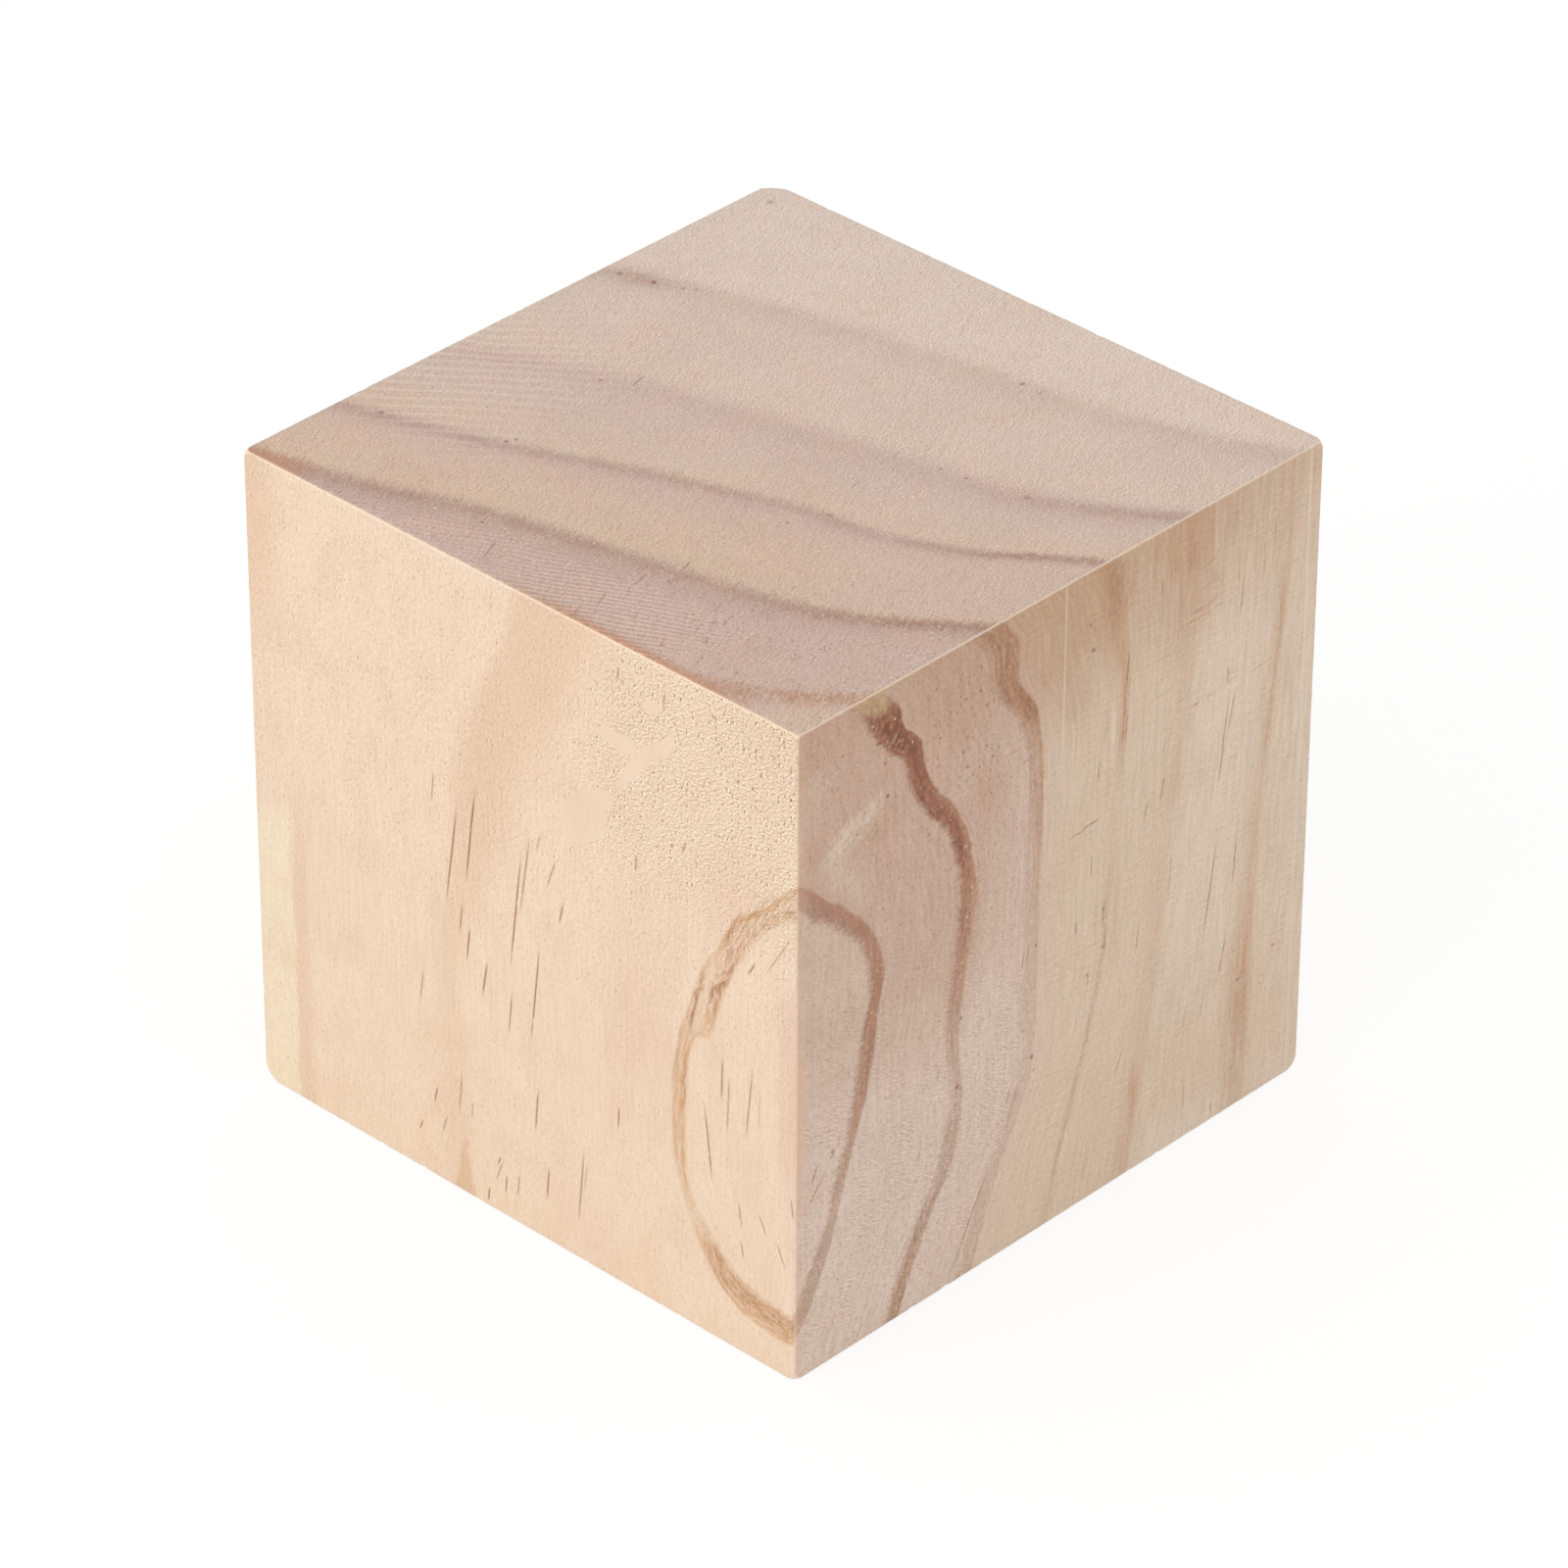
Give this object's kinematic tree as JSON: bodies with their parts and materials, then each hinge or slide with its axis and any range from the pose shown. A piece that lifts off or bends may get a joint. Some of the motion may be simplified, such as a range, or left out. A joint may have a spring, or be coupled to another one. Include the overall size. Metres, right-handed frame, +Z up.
{
  "type": "wooden cube",
  "caption": "Solid softwood cube with eased edges and lightly worn corners, used as a spacer, riser, stop or support block on a bench or desk.",
  "frame": {"origin": "middle of the bottom face", "axes": "+Z up along the wood fibres, so the top and bottom are end grain; -Y is the front face, with upright growth-ring lines; -X is the left face, sawn flat to the rings; +X is the bark side"},
  "size_m": [0.06, 0.06, 0.06],
  "materials": {
    "softwood": "bare planed and sawn softwood, unfinished, matt"
  },
  "bodies": {
    "root": {"wooden_cube": "softwood"}
  },
  "joints": []
}
